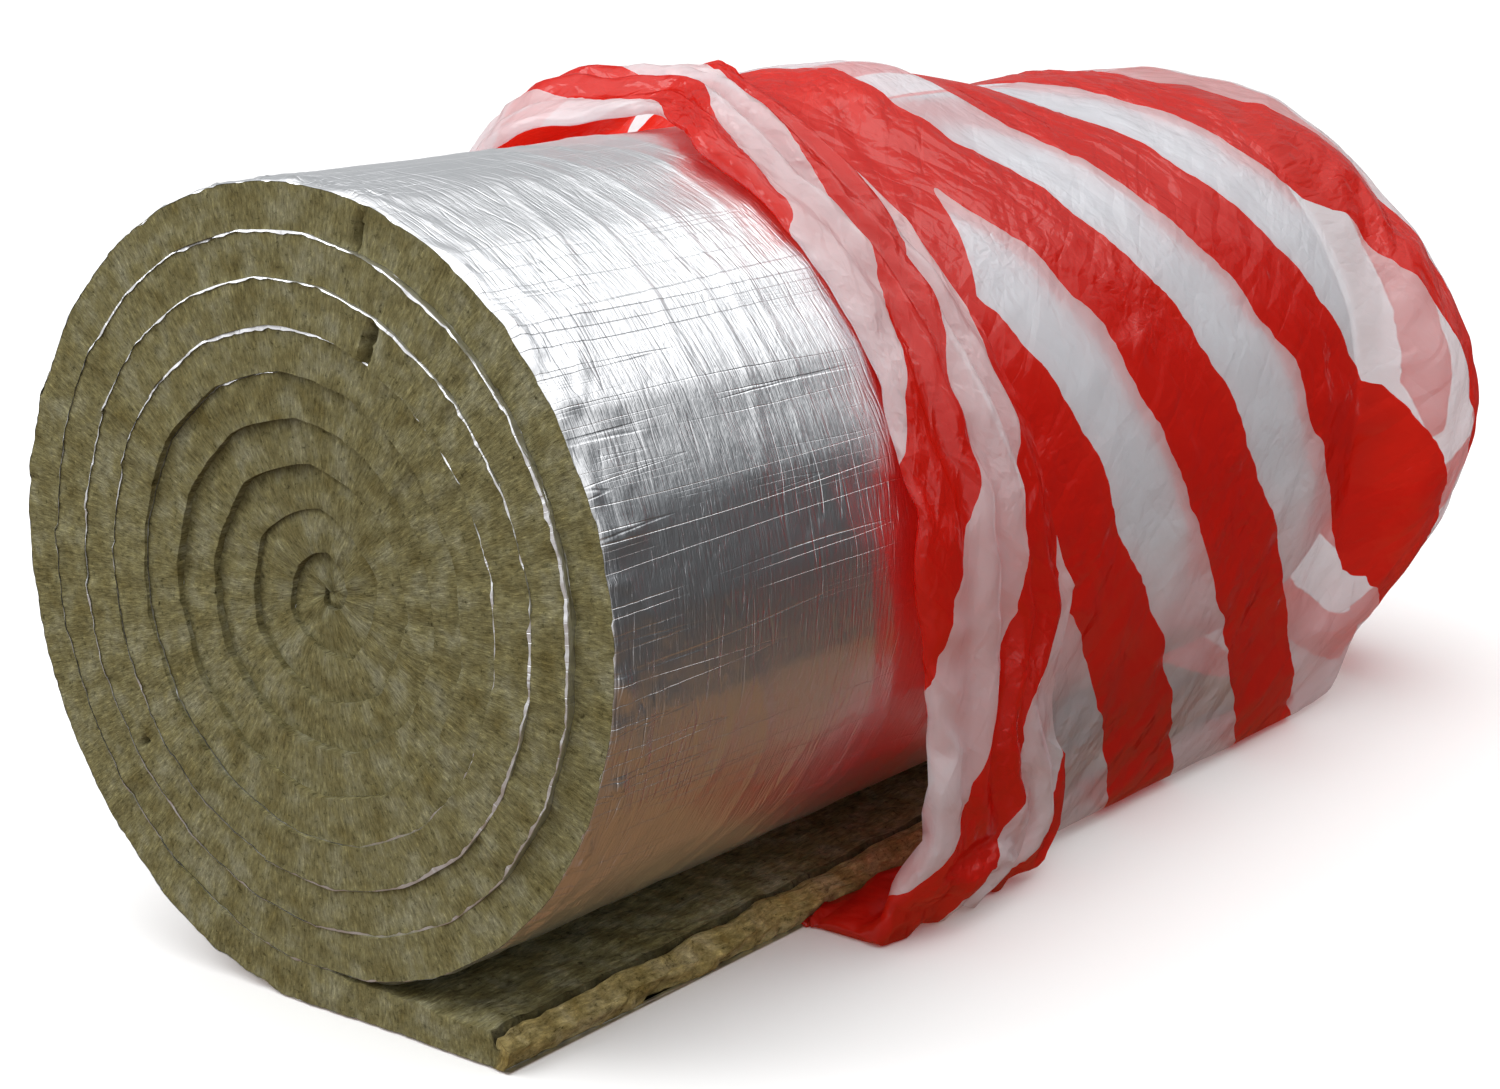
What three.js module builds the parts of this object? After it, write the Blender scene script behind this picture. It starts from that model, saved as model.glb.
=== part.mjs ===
// Insulation roll: a stone-wool mat with an aluminium-foil facing, wound foil side out and lying on its
// side. Its last stretch is unrolled on the floor as a short tail, and a film bag, closed at the rear,
// is pushed back from the front half so that its mouth bunches into a turned-back cuff.
// Millimetres, +Z up, +Y along the roll's axis with the bare end at -Y, the tail towards +X.
import * as THREE from 'three';
import { mergeVertices } from 'three/addons/utils/BufferGeometryUtils.js';

const { lerp, smoothstep } = THREE.MathUtils;

// ---- the mat ----
const matWidth = 1000;
const woolThickness = 30;
const foilThickness = 0.6;
const turnGap = 0.3;
const rollRadius = 291.4;
const segmentsPerTurn = 40;
const coreRadius = 3;
const firstTurnStart = 0.35;
const underside = 2.5;
const turnPitch = woolThickness + foilThickness + 2 * turnGap;
const turnsWound = rollRadius / turnPitch;

// ---- the ends: the outer turns are flush, the inner ones telescope towards the rear ----
const flushTurns = 2;
const dishDepth = 20;
const dishPower = 1.3;
const foilProud = 1;

// ---- the tail ----
const tailLength = 174;
const tailThickness = 24;
const tailSteps = 4;
const jointWidth = 5;
const jointDepth = 9;
const jointFromEndFront = 9;
const jointFromEndRear = 27;

// ---- the film bag ----
const filmThickness = 1.2;
const filmClearance = 1.5;
const filmUnderMat = 0.3;
const tailSlack = 48;
const hemHeight = 14;

// Its closed end, which stands full behind the mat: how far, how squarely, and how much its sides
// bulge and its foot beside the tail draws in.
const bagEndSlack = 318;
const bagEndSquareness = 3.4;
const bagEndBulge = 26;
const bagEndBulgeTop = 480;
const bagEndFullBulge = 0.45;
const bagEndPinch = 60;
const bagEndPinchHeights = [20, 160];
const bagEndPinchFrom = 0.1;
const bagEndFullPinch = 0.75;
const bagEndHeight = 170;
const bagEndSide = 10;

// Its slack over the top of the roll, as [distance behind the mat's front end, height off the roll],
// and how far behind that end its lip and its hem lie, as [degrees clockwise from below, distance].
const slackOnTop = [[300, 15], [470, 22], [524, 34], [610, 28], [680, 28], [830, 13], [960, 2]];
const lipBehind = [
  [0, 330], [60, 335], [130, 372], [156, 358], [166, 358], [176, 380], [198, 320], [262, 305],
  [296, 360], [330, 335], [360, 330],
];
const hemBehind = [
  [0, 400], [60, 420], [160, 480], [172, 484], [190, 435], [240, 437], [262, 455], [280, 500],
  [292, 490], [312, 540], [335, 440], [360, 400],
];

// Between which bearings, rising then dying away, the slack lies over the roll and its lip stands up.
const slackBearings = [120, 165, 178, 225];
const lipBearings = [150, 164, 166, 176];
const sideSlack = 4;
const lipRise = 9;
const lipRiseOnTop = 12;
const flareLength = 110;
const foldRadius = 6;
const foldRadiusOnTop = 12;
const hemRise = 14;
const hemReach = 10;
const cuffCrown = 10;

// How far down an outward direction points where the mouth starts to turn back and to lift, and where
// it has done both.
const turnsBack = [-0.95, -0.7];
const lifts = [-0.85, -0.5];

// ---- how finely the bag is faceted ----
const outlineArcSteps = 32;
const outlineSideSteps = 6;
const outlineFloorSteps = 4;
const endSteps = 8;
const bodySteps = 11;
const foldSteps = 5;
const cuffSteps = 5;

const fullTurn = 2 * Math.PI;
const matBase = filmThickness + filmUnderMat;
const axisHeight = matBase + rollRadius - underside;
const lastAngle = fullTurn * turnsWound;
const matEnd = matWidth / 2 + dishDepth;

const wool = new THREE.MeshStandardMaterial({ color: 0x80784f, roughness: 0.95, metalness: 0 });
const foil = new THREE.MeshStandardMaterial({ color: 0xc9ccd0, roughness: 0.3, metalness: 1 });
const film = new THREE.MeshStandardMaterial({ color: 0xd93a28, roughness: 0.35, metalness: 0 });

// Joins a row of closed sections, each with as many points as the next, into one closed body.
// A ring of sections closes on itself; an open row gets a flat cap at each end.
function loft(sections, isRing) {
  const pointsEach = sections[0].length;
  const triangles = [];
  const joints = isRing ? sections.length : sections.length - 1;
  for (let i = 0; i < joints; i += 1) {
    const here = sections[i];
    const next = sections[(i + 1) % sections.length];
    for (let k = 0; k < pointsEach; k += 1) {
      const after = (k + 1) % pointsEach;
      triangles.push([here[k], next[after], here[after]], [here[k], next[k], next[after]]);
    }
  }
  if (!isRing) {
    const first = sections[0];
    const last = sections[sections.length - 1];
    for (let k = 1; k < pointsEach - 1; k += 1) {
      triangles.push([first[0], first[k], first[k + 1]], [last[0], last[k + 1], last[k]]);
    }
  }
  return meshOf(triangles);
}

// Builds the geometry, leaving out triangles that have no area where points meet at a pole.
function meshOf(triangles) {
  const corners = [];
  for (const [a, b, c] of triangles) {
    const isFlat = a.distanceTo(b) < 1e-4 || b.distanceTo(c) < 1e-4 || c.distanceTo(a) < 1e-4;
    if (!isFlat) corners.push(a, b, c);
  }
  return mergeVertices(new THREE.BufferGeometry().setFromPoints(corners), 1e-4);
}

// The foil's outer radius where the winding has turned through an angle, counted from the centre.
function foilRadius(angle) {
  return (turnPitch * angle) / fullTurn;
}

// A point of the winding, seen from the front: the last turn ends at the bottom and is laid clockwise.
// Nothing of it lies lower than the given floor, where the soft underside is pressed flat.
function windingPoint(angle, radius, y, floor) {
  const fromBottom = lastAngle - angle;
  const x = -radius * Math.sin(fromBottom);
  const z = axisHeight - radius * Math.cos(fromBottom);
  return new THREE.Vector3(x, y, Math.max(z, floor));
}

// The angles at which the winding has its sections: even steps, and the edge of the flat underside.
function windingAngles() {
  const step = fullTurn / segmentsPerTurn;
  const flatEdge = lastAngle - Math.acos(1 - underside / rollRadius);
  const angles = [];
  for (let angle = lastAngle; angle > firstTurnStart * fullTurn; angle -= step) angles.push(angle);
  return [...angles, flatEdge].sort((a, b) => a - b);
}

// How far a turn's end stands back from the flush outer turns.
function endRecess(angle) {
  const flushFrom = lastAngle - flushTurns * fullTurn;
  const inward = Math.max(0, (flushFrom - angle) / flushFrom);
  return dishDepth * inward ** dishPower;
}

// One section of a layer: its outer and inner edge at the front end, then at the rear end.
function layerSection(outerFront, innerFront, outerRear, innerRear) {
  return [outerFront, innerFront, innerRear, outerRear];
}

// The wool: wound from the core outwards, then laid flat as the tail with its open joint.
function makeWool() {
  const sections = [];
  const base = matBase + foilThickness + turnGap;
  const front = -matWidth / 2;
  const rear = matWidth / 2;
  const angles = windingAngles();
  for (const angle of angles) {
    const recess = endRecess(angle);
    const outer = foilRadius(angle) - foilThickness - turnGap;
    const turnBelow = Math.max(angle - fullTurn, angles[0]);
    const inner = angle > fullTurn ? foilRadius(turnBelow) + turnGap : coreRadius;
    sections.push(layerSection(
      windingPoint(angle, outer, front + recess, base),
      windingPoint(angle, inner, front + recess, base),
      windingPoint(angle, outer, rear + recess, base),
      windingPoint(angle, inner, rear + recess, base),
    ));
  }
  const rootThickness = turnPitch - underside - foilThickness - 2 * turnGap;
  for (const [along, depth] of tailProfile()) {
    const thickness = lerp(rootThickness, tailThickness, along(0.5) / tailLength) - depth;
    sections.push(layerSection(
      new THREE.Vector3(along(0), front, base),
      new THREE.Vector3(along(0), front, base + thickness),
      new THREE.Vector3(along(1), rear, base),
      new THREE.Vector3(along(1), rear, base + thickness),
    ));
  }
  return loft(sections, false);
}

// The tail's stations: each gives its distance from the root, at the front (0) to the rear (1) end, and
// how deep the open joint between the last two lamellae cuts there.
function tailProfile() {
  const jointAt = (shift) => (part) =>
    tailLength - lerp(jointFromEndFront, jointFromEndRear, part) + shift;
  const stations = [];
  for (let i = 1; i < tailSteps; i += 1) {
    const root = (part) => (jointAt(-jointWidth)(part) * i) / tailSteps;
    stations.push([root, 0]);
  }
  stations.push([jointAt(-jointWidth / 2), 0]);
  stations.push([jointAt(0), jointDepth]);
  stations.push([jointAt(jointWidth / 2), 0]);
  stations.push([() => tailLength, 0]);
  return stations;
}

// The foil facing: a thin ply on the outer side of the wool, from the core to the tail's end.
function makeFoil() {
  const front = -matWidth / 2 - foilProud;
  const rear = matWidth / 2;
  const sections = [];
  for (const angle of windingAngles()) {
    const recess = endRecess(angle);
    const outer = foilRadius(angle);
    const inner = outer - foilThickness;
    sections.push(layerSection(
      windingPoint(angle, outer, front + recess, matBase),
      windingPoint(angle, inner, front + recess, matBase + foilThickness),
      windingPoint(angle, outer, rear + recess, matBase),
      windingPoint(angle, inner, rear + recess, matBase + foilThickness),
    ));
  }
  for (let i = 1; i <= tailSteps; i += 1) {
    const x = (tailLength * i) / tailSteps;
    sections.push(layerSection(
      new THREE.Vector3(x, front, matBase),
      new THREE.Vector3(x, front, matBase + foilThickness),
      new THREE.Vector3(x, rear, matBase),
      new THREE.Vector3(x, rear, matBase + foilThickness),
    ));
  }
  return loft(sections, false);
}

// The closed line on which the film's inner side lies, clockwise from the flat underside: up the left
// side, over the top and down the right side, off the roll to the tail's edge, and back under it.
function bagOutline() {
  const points = [];
  const flatHalf = Math.acos(1 - underside / rollRadius);
  const edge = new THREE.Vector2(tailLength + tailSlack, filmThickness + hemHeight);
  const leavesAt = whereFilmLeavesRoll(edge);
  for (let i = 0; i <= outlineArcSteps; i += 1) {
    const fromBottom = lerp(flatHalf, leavesAt, i / outlineArcSteps);
    points.push(onFilm(fromBottom));
  }
  const leaves = points[points.length - 1];
  for (let i = 1; i <= outlineSideSteps; i += 1) {
    points.push(leaves.clone().lerp(edge, i / outlineSideSteps));
  }
  const hem = new THREE.Vector2(edge.x - hemHeight / 2, filmThickness);
  for (let i = 0; i < outlineFloorSteps; i += 1) {
    points.push(hem.clone().lerp(new THREE.Vector2(points[0].x, filmThickness), i / outlineFloorSteps));
  }
  points[0].y = filmThickness;
  return points;
}

// The film's inner side at an angle from the bottom, where it follows the last turn of the roll.
function onFilm(fromBottom) {
  const radius = foilRadius(lastAngle - fromBottom) + filmClearance;
  const z = axisHeight - radius * Math.cos(fromBottom);
  return new THREE.Vector2(-radius * Math.sin(fromBottom), Math.max(z, filmThickness));
}

// The angle from the bottom, past the right-hand side, at which a straight run to the edge is a tangent.
function whereFilmLeavesRoll(edge) {
  const down = axisHeight - edge.y;
  const bearing = fullTurn - Math.atan2(edge.x, down);
  const radius = foilRadius(lastAngle - bearing) + filmClearance;
  return bearing - Math.acos(radius / Math.hypot(edge.x, down));
}

// The outward directions at the corners of a closed outline that runs clockwise.
function outwardNormals(outline) {
  return outline.map((_, i) => {
    const before = outline[(i + outline.length - 1) % outline.length];
    const after = outline[(i + 1) % outline.length];
    const along = after.clone().sub(before).normalize();
    return new THREE.Vector2(-along.y, along.x);
  });
}

// A smooth curve through stops, each a place and a height.
function through(stops, place) {
  const next = stops.findIndex(([at]) => place <= at);
  if (next <= 0) return stops[next === 0 ? 0 : stops.length - 1][1];
  const [from, low] = stops[next - 1];
  const [to, high] = stops[next];
  return lerp(low, high, smoothstep(place, from, to));
}

// A rise from 0 to 1 and back, between two pairs of bearings.
function between(bearing, [from, full, past, end]) {
  return smoothstep(bearing, from, full) * (1 - smoothstep(bearing, past, end));
}

// The bearing of a point round the roll's axis, in degrees, clockwise from straight below.
function bearingOf(point) {
  const degrees = THREE.MathUtils.radToDeg(Math.atan2(-point.x, axisHeight - point.y));
  return (degrees + 360) % 360;
}

// The bag's line from its closed end to its hem, as (y, distance out from the end's centre), where the
// body lies at rollRadius. The film is slack over the roll behind the lip, turns back there, and ends
// in the hem of the cuff; turned says how far it turns back, and free how far it lifts.
function bagProfile(bearing, turned, free) {
  const front = -matWidth / 2;
  const onTop = between(bearing, slackBearings);
  const lip = front + through(lipBehind, bearing);
  const hem = front + through(hemBehind, bearing);
  const rise = free * (lipRise + lipRiseOnTop * between(bearing, lipBearings));
  const slackAt = (y) => {
    const dying = smoothstep(matEnd - y, 0, flareLength);
    return free * dying * (sideSlack + onTop * through(slackOnTop, y - front));
  };
  const points = [];
  for (let i = 0; i < endSteps; i += 1) {
    const angle = (Math.PI / 2) * (1 - i / endSteps);
    const back = Math.sin(angle) ** (2 / bagEndSquareness);
    const share = i === 0 ? 0 : Math.cos(angle) ** (2 / bagEndSquareness);
    points.push(new THREE.Vector2(matEnd + bagEndSlack * back, rollRadius * share));
  }
  for (let i = 0; i <= bodySteps; i += 1) {
    const y = lerp(matEnd, lip, i / bodySteps);
    const flare = smoothstep(lip + flareLength - y, 0, flareLength);
    points.push(new THREE.Vector2(y, rollRadius + lerp(slackAt(y), rise, flare)));
  }
  const turn = Math.PI * turned;
  const foldLength = Math.PI * lerp(foldRadius, foldRadiusOnTop, onTop);
  for (let i = 0; i < foldSteps; i += 1) {
    const step = headingAfter((turn * (i + 0.5)) / foldSteps);
    points.push(step.multiplyScalar(foldLength / foldSteps).add(points[points.length - 1]));
  }
  const lipTop = points[points.length - 1];
  const reach = lerp(hemReach, hem - lip, free);
  const drop = turned * free * (rollRadius + slackAt(hem) + hemRise - lipTop.y);
  for (let i = 1; i <= cuffSteps; i += 1) {
    const share = i / cuffSteps;
    const crown = turned * onTop * cuffCrown * Math.sin(Math.PI * share);
    const lifted = new THREE.Vector2(0, drop * smoothstep(share, 0, 1) + crown);
    points.push(headingAfter(turn).multiplyScalar(reach * share).add(lipTop).add(lifted));
  }
  return points;
}

// The way that the film heads, from straight towards the front end, once it has turned by an angle.
function headingAfter(turned) {
  return new THREE.Vector2(-Math.cos(turned), Math.sin(turned));
}

// The two sides of a wall of one thickness, built outwards from its inner line.
function wallOf(line) {
  const inside = [];
  const outside = [];
  line.forEach((point, i) => {
    const before = line[Math.max(i - 1, 0)];
    const after = line[Math.min(i + 1, line.length - 1)];
    const along = after.clone().sub(before).normalize();
    const out = i === 0 ? new THREE.Vector2(1, 0) : new THREE.Vector2(along.y, -along.x);
    inside.push(point.clone());
    outside.push(point.clone().addScaledVector(out, filmThickness));
  });
  return { inside, outside };
}

// The outline behind the mat, by how far back it is there from 0 to 1: the sides bulge, and the foot
// beside the tail draws in.
function spread(base, back) {
  const side = lerp(-1, 1, smoothstep(base.x, -bagEndBulge, bagEndBulge));
  const height = Math.min(1, base.y / bagEndBulgeTop);
  const bulge = side * bagEndBulge * smoothstep(back, 0, bagEndFullBulge) * Math.sin(Math.PI * height);
  const foot = smoothstep(base.x, 0, tailLength) * (1 - smoothstep(base.y, ...bagEndPinchHeights));
  const pinch = bagEndPinch * smoothstep(back, bagEndPinchFrom, bagEndFullPinch) * foot;
  return new THREE.Vector2(base.x + bulge - pinch, base.y);
}

// The bag: its profile stands round the whole outline, drawn in to one point at the closed end. Under
// the mat the mouth lies flat; up the sides it rises off the roll and turns back.
function makeBag() {
  const outline = bagOutline();
  const normals = outwardNormals(outline);
  const endCentre = new THREE.Vector2(bagEndSide, bagEndHeight);
  const sections = outline.map((base, i) => {
    const out = normals[i];
    const turned = smoothstep(out.y, ...turnsBack);
    const free = smoothstep(out.y, ...lifts);
    const { inside, outside } = wallOf(bagProfile(bearingOf(base), turned, free));
    const place = ({ x: y, y: radius }) => {
      const beyond = radius - rollRadius;
      const wall = spread(base, Math.max(0, y - matEnd) / bagEndSlack);
      if (beyond < 0) wall.lerpVectors(endCentre, wall, radius / rollRadius);
      else wall.addScaledVector(out, beyond);
      return new THREE.Vector3(wall.x, y, wall.y);
    };
    return [...inside.map(place), ...outside.map(place).reverse()];
  });
  return loft(sections, true);
}

function named(name, geometry, material) {
  const mesh = new THREE.Mesh(geometry, material);
  mesh.name = name;
  return mesh;
}

const roll = new THREE.Group();
roll.add(named('wool_mat', makeWool(), wool));
roll.add(named('foil_facing', makeFoil(), foil));
roll.add(named('film_bag', makeBag(), film));

// The origin is at the bottom centre of the whole object.
const box = new THREE.Box3().setFromObject(roll);
const centre = box.getCenter(new THREE.Vector3());
roll.position.set(-centre.x, -centre.y, -box.min.z);

const part = new THREE.Group();
part.add(roll);
part.updateMatrixWorld(true);

export default part;
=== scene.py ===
import math

import bmesh
import bpy
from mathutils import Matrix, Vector, noise


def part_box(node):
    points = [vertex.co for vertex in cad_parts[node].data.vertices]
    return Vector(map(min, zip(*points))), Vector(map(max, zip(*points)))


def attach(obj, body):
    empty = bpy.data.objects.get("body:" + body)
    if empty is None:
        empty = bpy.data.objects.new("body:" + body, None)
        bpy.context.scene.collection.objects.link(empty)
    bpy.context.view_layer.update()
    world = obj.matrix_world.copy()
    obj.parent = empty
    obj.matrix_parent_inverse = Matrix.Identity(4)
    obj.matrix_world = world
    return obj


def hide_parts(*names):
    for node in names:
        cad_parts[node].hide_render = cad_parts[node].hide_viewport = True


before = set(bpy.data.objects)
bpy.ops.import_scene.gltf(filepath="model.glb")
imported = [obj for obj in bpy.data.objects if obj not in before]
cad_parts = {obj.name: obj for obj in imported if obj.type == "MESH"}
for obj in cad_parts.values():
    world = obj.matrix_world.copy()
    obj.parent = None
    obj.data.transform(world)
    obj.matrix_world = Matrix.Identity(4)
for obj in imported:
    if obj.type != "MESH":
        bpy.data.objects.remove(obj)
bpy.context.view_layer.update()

# ---- Camera, floor and light ----
# The roll is seen from its front right, a little from above, on a pale floor under a soft overcast
# dome. The dome is what the foil mirrors: bright overhead, dim at the back right, brown below.

wool_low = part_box("wool_mat")[0]
foil_low, foil_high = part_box("foil_facing")
camera_right, camera_front, camera_height = 1.6074, 1.2298, 0.7779
camera_turn = math.radians(37.75)
camera_dip = math.radians(14.15)
camera_lens = 67.2
camera_film = 36
floor_size = 60.0
floor_colour = (0.93, 0.93, 0.925, 1)
floor_roughness = 0.9
dome_strength = 1.0
sides_meet = 0.3
back_from, front_from = 0.15, -0.25
softbox_size = (2.6, 1.8)
softbox_aim = Vector((0, 0, 0.3))
softboxes = (("softbox_behind", (0.9, 1.5, 2.9), 14), ("softbox_front", (-1.9, -2.1, 2.2), 45))

camera = bpy.data.objects.new("camera", bpy.data.cameras.new("camera"))
camera.data.lens = camera_lens
camera.data.sensor_width = camera_film
camera.location = (foil_low.x + camera_right, wool_low.y - camera_front, camera_height)
camera.rotation_euler = (math.pi / 2 - camera_dip, 0, camera_turn)
bpy.context.scene.collection.objects.link(camera)
bpy.context.scene.camera = camera


def made(name, shape):
    """An object made of a finished shape, which is used up."""
    piece = bpy.data.objects.new(name, bpy.data.meshes.new(name))
    shape.to_mesh(piece.data)
    shape.free()
    bpy.context.scene.collection.objects.link(piece)
    return piece


def painted(piece, name):
    """A new material on a piece; gives its nodes and links."""
    paint = bpy.data.materials.new(name)
    paint.use_nodes = True
    piece.data.materials.append(paint)
    return paint.node_tree.nodes, paint.node_tree.links


floor_shape = bmesh.new()
bmesh.ops.create_grid(floor_shape, x_segments=1, y_segments=1, size=floor_size / 2)
floor = made("floor", floor_shape)
nodes, links = painted(floor, "pale_floor")
nodes["Principled BSDF"].inputs["Base Color"].default_value = floor_colour
nodes["Principled BSDF"].inputs["Roughness"].default_value = floor_roughness
# The foil and the film take the dome's brown lower half for their light from below, not the floor.
floor.visible_glossy = False
floor.visible_diffuse = False

sky = bpy.data.worlds.new("soft_dome")
bpy.context.scene.world = sky
sky.use_nodes = True
nodes, links = sky.node_tree.nodes, sky.node_tree.links


def ramp(value, *stops):
    """Colours along a value, each stop a place and a colour."""
    chosen = nodes.new("ShaderNodeValToRGB")
    lowest, highest = chosen.color_ramp.elements
    lowest.position, lowest.color = stops[0][0], (*stops[0][1], 1)
    highest.position, highest.color = stops[-1][0], (*stops[-1][1], 1)
    for at, colour in stops[1:-1]:
        chosen.color_ramp.elements.new(at).color = (*colour, 1)
    links.new(value, chosen.inputs[0])
    return chosen.outputs["Color"]


def mixed(kind, share, first, second):
    """Two colours mixed; each of the share and the colours is a value or a socket."""
    mix = nodes.new("ShaderNodeMix")
    mix.data_type = "RGBA"
    mix.blend_type = kind
    for socket, value in (("Factor", share), ("A", first), ("B", second)):
        if isinstance(value, tuple):
            mix.inputs[socket].default_value = (*value, 1)
        elif isinstance(value, float):
            mix.inputs[socket].default_value = value
        else:
            links.new(value, mix.inputs[socket])
    return mix.outputs["Result"]


def calculated(operation, *values):
    """A sum, product or the like, of numbers and sockets."""
    step = nodes.new("ShaderNodeMath")
    step.operation = operation
    for socket, value in zip(step.inputs, values):
        if isinstance(value, (int, float)):
            socket.default_value = value
        else:
            links.new(value, socket)
    return step.outputs[0]


def eased(value, low, high):
    """A value turned into a smooth rise from 0 at low to 1 at high."""
    rise = nodes.new("ShaderNodeMapRange")
    rise.interpolation_type = "SMOOTHSTEP"
    rise.inputs["From Min"].default_value = low
    rise.inputs["From Max"].default_value = high
    links.new(value, rise.inputs["Value"])
    return rise.outputs["Result"]


def taken_apart(place):
    """The X, Y and Z of a place, each a socket."""
    parts = nodes.new("ShaderNodeSeparateXYZ")
    links.new(place, parts.inputs[0])
    return parts.outputs["X"], parts.outputs["Y"], parts.outputs["Z"]


dome_x, dome_y, dome_z = taken_apart(nodes.new("ShaderNodeTexCoord").outputs["Generated"])
dome_height = calculated("MULTIPLY_ADD", dome_z, 0.5, 0.5)
back_left = ramp(dome_height, (0.0, (0.25, 0.13, 0.06)), (0.2, (0.22, 0.119, 0.056)),
                 (0.33, (0.14, 0.1, 0.078)), (0.42, (0.11, 0.1, 0.09)), (0.48, (0.24, 0.24, 0.24)),
                 (0.51, (0.55, 0.555, 0.56)), (0.6, (0.42, 0.43, 0.44)), (0.76, (0.31, 0.33, 0.34)),
                 (0.83, (0.67, 0.67, 0.67)), (1.0, (2.0, 2.0, 2.0)))
back_right = ramp(dome_height, (0.0, (0.25, 0.13, 0.06)), (0.2, (0.22, 0.119, 0.056)),
                  (0.262, (0.185, 0.122, 0.078)), (0.33, (0.062, 0.053, 0.048)), (0.4, (0.05, 0.048, 0.048)),
                  (0.53, (0.04, 0.043, 0.045)), (0.62, (0.08, 0.088, 0.095)), (0.69, (0.3, 0.32, 0.33)),
                  (0.75, (0.78, 0.78, 0.78)), (0.84, (0.85, 0.85, 0.85)), (1.0, (2.1, 2.1, 2.1)))
front = ramp(dome_height, (0.0, (0.22, 0.13, 0.085)), (0.36, (0.32, 0.26, 0.22)),
             (0.52, (0.82, 0.82, 0.83)), (0.8, (1.25, 1.25, 1.25)), (1.0, (2.1, 2.1, 2.1)))
back = mixed("MIX", eased(dome_x, -sides_meet, sides_meet), back_left, back_right)
dome = mixed("MIX", eased(dome_y, back_from, front_from), back, front)
links.new(dome, nodes["Background"].inputs["Color"])
nodes["Background"].inputs["Strength"].default_value = dome_strength

for lamp_name, lamp_place, lamp_power in softboxes:
    lamp = bpy.data.objects.new(lamp_name, bpy.data.lights.new(lamp_name, "AREA"))
    lamp.data.shape = "RECTANGLE"
    lamp.data.size = softbox_size[0]
    lamp.data.size_y = softbox_size[1]
    lamp.data.energy = lamp_power
    lamp.location = lamp_place
    lamp.rotation_euler = (softbox_aim - lamp.location).to_track_quat("-Z", "Y").to_euler()
    bpy.context.scene.collection.objects.link(lamp)
bpy.context.scene.view_settings.view_transform = "Standard"

# ---- Wool mat ----
# One long mat of stone wool, 30 mm thick and 1 m wide, made of strips glued side by side with their
# fibres standing across the mat. It is wound foil side out, and its last strips lie unrolled.

turn_pitch = 0.0312
roll_radius = 0.2914
turns_wound = roll_radius / turn_pitch
last_angle = 2 * math.pi * turns_wound
wound_length = turn_pitch * last_angle**2 / (4 * math.pi)
axis_x = foil_low.x + roll_radius - turn_pitch / 4
axis_z = foil_high.z - roll_radius + turn_pitch / 2
front_y = wool_low.y
mat_width = 1.0
mat_base = foil_low.z
mat_thickness = 0.03
ply_gap = 0.0003
turn_gap = 0.0001
core_radius = 0.0006
small_radius = 0.05
first_angle = 0.8
mat_start = turn_pitch * first_angle**2 / (4 * math.pi)
tail_length = 0.174
tail_thickness = 0.024
tail_root_press = 0.0025
mat_end = wound_length + tail_length
resting_angle = 0.5
resting_share = 0.92
strip_width = 0.066
strip_flatness = 0.45
wobble_wide, wobble_fine = 0.0011, 0.0008
strip_step = 0.0012
joint_width = 0.0018
joint_depth = 0.013
joint_from_end = (0.0085, 0.042)
joint_unevenness = 0.0012
dish_depth = 0.03
dish_unevenness = 0.0015
proud_turns = (0.0045, 0.0035, 0.0025)
proud_bearings = (165, 225, 290, 345)
edge_over_foil = 0.0004
face_lumps, face_fibres, face_crown = 0.0014, 0.0010, 0.0012
tail_lumps, tail_fibres, tail_rounding = 0.0028, 0.0016, 0.006
ragged_wide, ragged_fine = 0.006, 0.003
# Each crack in the end face: degrees back from the last turn, nearest and furthest depth in the mat,
# width and depth.
cracks = ((922, 0.004, 0.03, 0.0028, 0.014), (194, 0.005, 0.03, 0.0014, 0.005),
          (772, 0.005, 0.014, 0.0022, 0.008))
cell_length = 0.0032
end_length, end_cell_length = 0.05, 0.0013
cells_deep = 11
tail_cuts = 220
tail_margin = 0.02
wool_crease = math.radians(55)


def smooth(low, high, value):
    """Rises smoothly from 0 to 1 as the value goes from low to high."""
    t = min(1.0, max(0.0, (value - low) / (high - low)))
    return t * t * (3 - 2 * t)


def between(low, full, past, end, value):
    """Rises from 0 to 1 and dies away again."""
    return smooth(low, full, value) * (1 - smooth(past, end, value))


def uneven(x, y, z):
    """An uneven height from about -1 to 1, the same at each run."""
    return noise.noise(Vector((x, y, z)))


def turn_radius(angle):
    """The foil's radius, with the slight flats that the strips keep and a hand-wound wobble."""
    along = turn_pitch * angle**2 / (4 * math.pi)
    radius = turn_pitch * angle / (2 * math.pi)
    in_strip = (along / strip_width) % 1 - 0.5
    sag = strip_width**2 / (8 * max(radius, small_radius))
    flat = sag * (4 * in_strip**2 - 0.35)
    wobble = wobble_wide * uneven(along * 9, 4.1, 0)
    wobble += wobble_fine * uneven(along * 31, 9.7, 0)
    return radius + strip_flatness * flat + wobble * min(1, radius / small_radius)


def end_recess(angle):
    """How far a turn's end stands back: the next turns in lean out on the right, the core sinks."""
    wound_back = math.degrees(last_angle - angle)
    inward = max(0.0, 1 - angle / (last_angle - 5 * math.pi))
    proud = 0.0
    for turn, stand in enumerate(proud_turns, start=1):
        turn_back = wound_back - turn * 360
        proud += stand * between(*proud_bearings, turn_back) + 0.5 * stand * smooth(350, 500, turn_back)
    dish = dish_depth * inward**1.2 + dish_unevenness * uneven(angle * 0.9, 2.9, 0)
    return dish - proud * (1 - smooth(0.1, 0.6, inward))


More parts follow.
